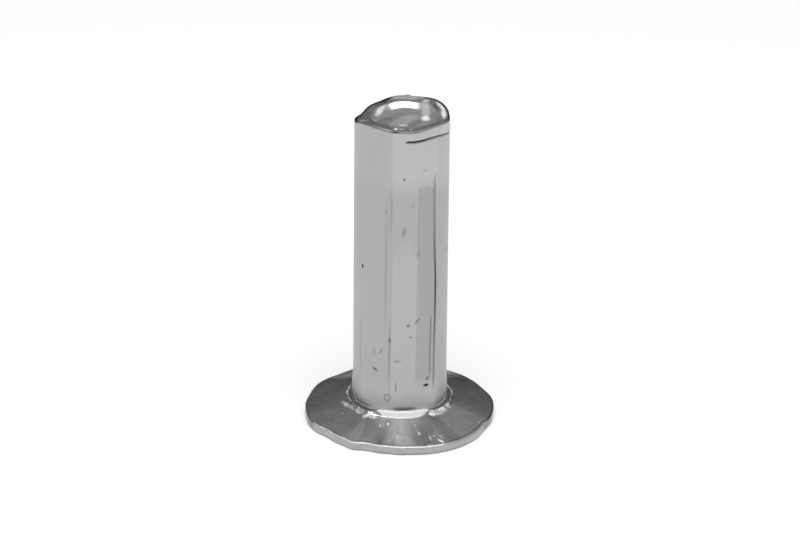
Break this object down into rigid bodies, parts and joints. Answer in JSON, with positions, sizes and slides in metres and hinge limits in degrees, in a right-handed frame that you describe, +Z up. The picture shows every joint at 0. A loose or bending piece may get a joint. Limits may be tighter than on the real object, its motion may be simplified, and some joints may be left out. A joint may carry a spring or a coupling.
{
  "type": "solid rivet",
  "caption": "Flat-head solid rivet with a plain round shank, a shallow cone under a thin disc head, and a sheared, slightly dished tail end.",
  "frame": {"origin": "centre of the head's flat outer face, which the rivet stands on", "axes": "+Z up the shank from the head to the tail end; the rolled-over side of the tail end is at 150 degrees from +X"},
  "size_m": [0.0102, 0.0102, 0.0174],
  "materials": {
    "aluminium": "bare drawn and cold-headed wire: satin shank, smoother head and end, small nicks and seams"
  },
  "bodies": {
    "root": {"rivet": "aluminium"}
  },
  "joints": []
}
